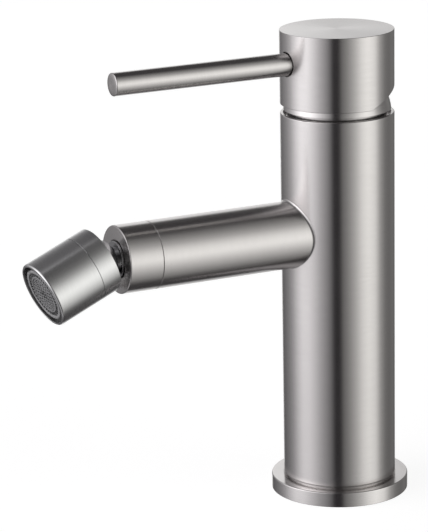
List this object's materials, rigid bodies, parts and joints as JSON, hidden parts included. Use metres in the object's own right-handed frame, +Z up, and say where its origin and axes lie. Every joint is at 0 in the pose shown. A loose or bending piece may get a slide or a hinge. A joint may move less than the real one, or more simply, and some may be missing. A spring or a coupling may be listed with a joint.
{
  "type": "bidet mixer",
  "caption": "Deck-mounted single-lever bidet mixer: round body on a flange, short straight spout with a ball-jointed aerator nozzle, and a tilting cap with a rod lever.",
  "frame": {"origin": "on the deck at the centre of the base, where the body axis meets the underside of the flange", "axes": "+Z up along the body axis, -Y along the spout and the lever towards the user, +X to the right as seen from the user"},
  "size_m": [0.055, 0.1612, 0.188],
  "materials": {
    "brushed_steel": "satin brushed stainless steel",
    "chrome": "polished",
    "brass": "machined",
    "grey_plastic": "matt moulded",
    "white_ceramic": "lapped",
    "black_rubber": "matt"
  },
  "bodies": {
    "body": {"base_flange": "brushed_steel", "base_gasket": "black_rubber", "body_tube": "brushed_steel", "valve_core": "brass", "spout_nipple": "brass", "nipple_oring": "black_rubber", "spout_tube": "brushed_steel", "spout_end": "brushed_steel", "spout_end_oring": "black_rubber", "ball_stud": "chrome", "cartridge_foot": "grey_plastic", "cartridge_housing": "grey_plastic", "foot_seals": "black_rubber", "disc_seals": "black_rubber", "fixed_disc": "white_ceramic", "cartridge_nut": "brass", "dome_cover": "brushed_steel"},
    "rotor": {"cartridge_rotor": "grey_plastic", "pivot_pin": "chrome"},
    "handle": {"spindle": "brushed_steel", "handle_cap": "brushed_steel", "lever_rod": "brushed_steel", "set_screw": "chrome"},
    "disc": {"moving_disc": "white_ceramic", "disc_carrier": "grey_plastic"},
    "seat_ring": {"ball_seat": "black_rubber"},
    "nozzle": {"socket_ring": "brushed_steel", "nozzle_sleeve": "brushed_steel", "aerator_housing": "grey_plastic", "aerator_grille": "grey_plastic", "aerator_diffuser": "grey_plastic", "filter_screen": "grey_plastic", "aerator_gasket": "black_rubber"}
  },
  "joints": [
    {"name": "handle_turn", "type": "hinge", "parent": "body", "child": "rotor", "pos_m": [0, 0, 0.154], "axis": [0, 0, 1], "range_deg": [-45, 45]},
    {"name": "handle_lift", "type": "hinge", "parent": "rotor", "child": "handle", "pos_m": [0, 0, 0.154], "axis": [-1, 0, 0], "range_deg": [0, 25]},
    {"name": "disc_slide", "type": "slide", "parent": "rotor", "child": "disc", "axis": [0, -1, 0], "range_m": [0, 0.0052]},
    {"name": "nozzle_turn", "type": "hinge", "parent": "body", "child": "seat_ring", "pos_m": [0, -0.106, 0.108], "axis": [0, -1, 0], "continuous": true},
    {"name": "nozzle_tilt", "type": "hinge", "parent": "seat_ring", "child": "nozzle", "pos_m": [0, -0.106, 0.108], "axis": [0.9824, 0, 0.1865], "range_deg": [-47.4, 2.5]}
  ],
  "couplings": [
    {"joint": "disc_slide", "follows": "handle_lift", "m_per_rad": 0.01175}
  ]
}
